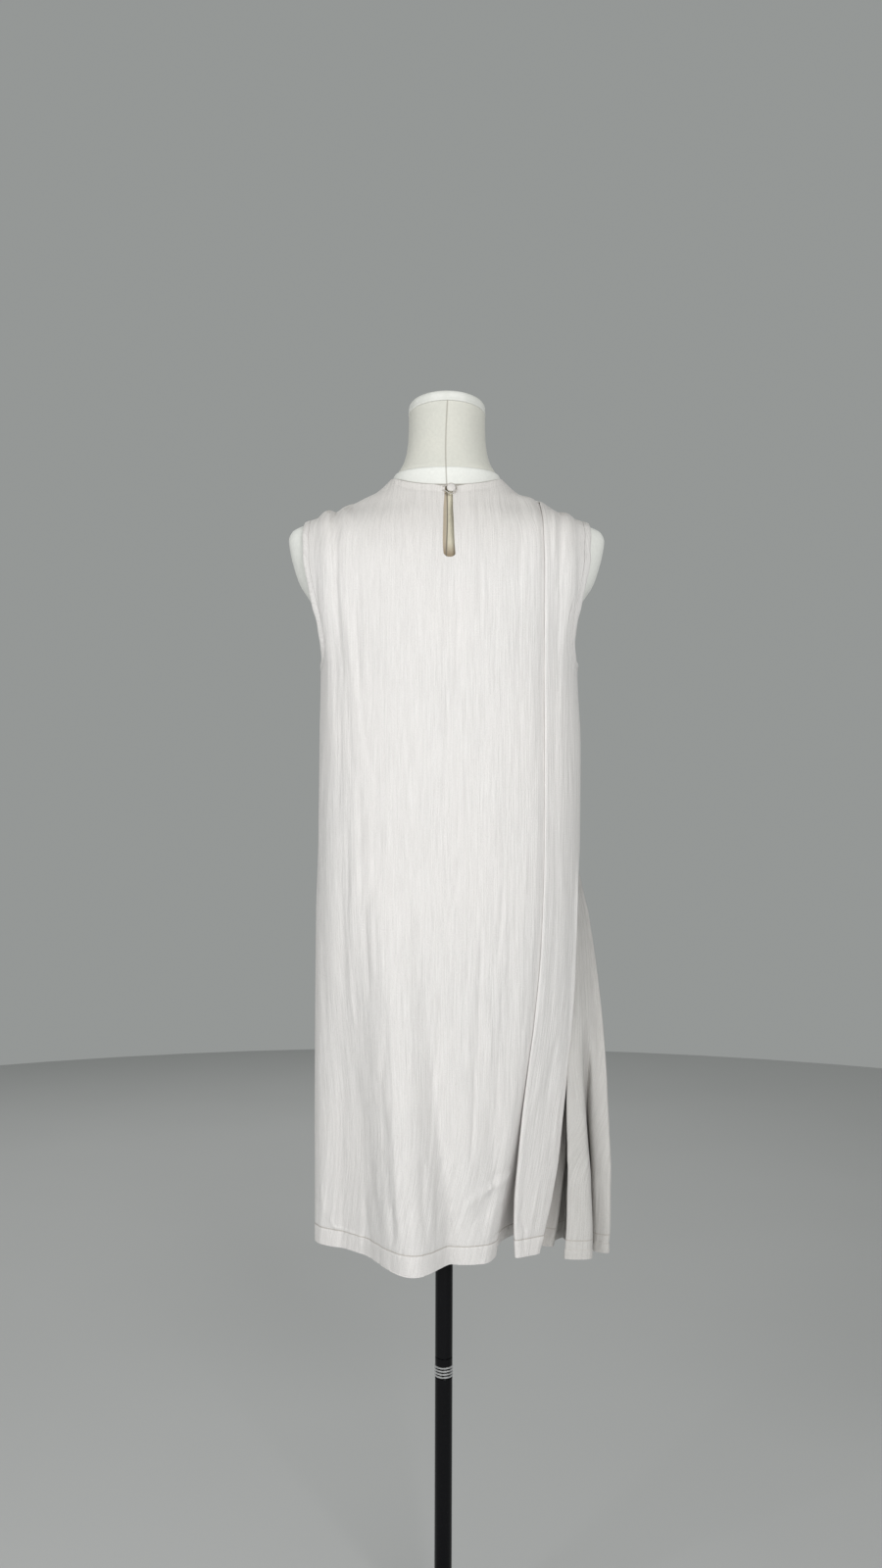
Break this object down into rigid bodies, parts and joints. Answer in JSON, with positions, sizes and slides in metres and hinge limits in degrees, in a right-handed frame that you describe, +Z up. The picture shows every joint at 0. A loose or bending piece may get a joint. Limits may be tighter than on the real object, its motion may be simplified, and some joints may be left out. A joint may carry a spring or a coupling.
{
  "type": "pleated sleeveless dress on a limbless dress form with a pole stand",
  "caption": "Straight knee-length sleeveless dress with a long back pleat, a pleated side insert and a buttoned back slit, on a limbless dress form with a pole stand.",
  "frame": {"origin": "on the pole's axis, at the underside of the base plate", "axes": "+Z up along the pole; the dress's back faces -Y and its front +Y; the pleated side insert is on the +X side"},
  "size_m": [0.4062, 0.32, 1.5749],
  "materials": {
    "dress_cloth": "fine crinkled ivory crepe",
    "form_jersey": "smooth pale grey jersey",
    "form_cap": "smooth white cloth",
    "pole_black": "gloss black",
    "ring_chrome": "polished"
  },
  "bodies": {
    "root": {"back_panel": "dress_cloth", "front_panel": "dress_cloth", "side_insert": "dress_cloth", "armhole_binding_left": "dress_cloth", "armhole_binding_right": "dress_cloth", "button": "dress_cloth", "button_loop": "dress_cloth", "form_body": "form_jersey", "form_neck_cap": "form_cap", "form_socket": "pole_black", "pole_upper": "pole_black", "pole_coupling": "pole_black", "pole_ring_1": "ring_chrome", "pole_ring_2": "ring_chrome", "pole_ring_3": "ring_chrome", "pole_ring_4": "ring_chrome", "pole_lower": "pole_black", "base_hub": "pole_black", "base_plate": "pole_black"}
  },
  "joints": []
}
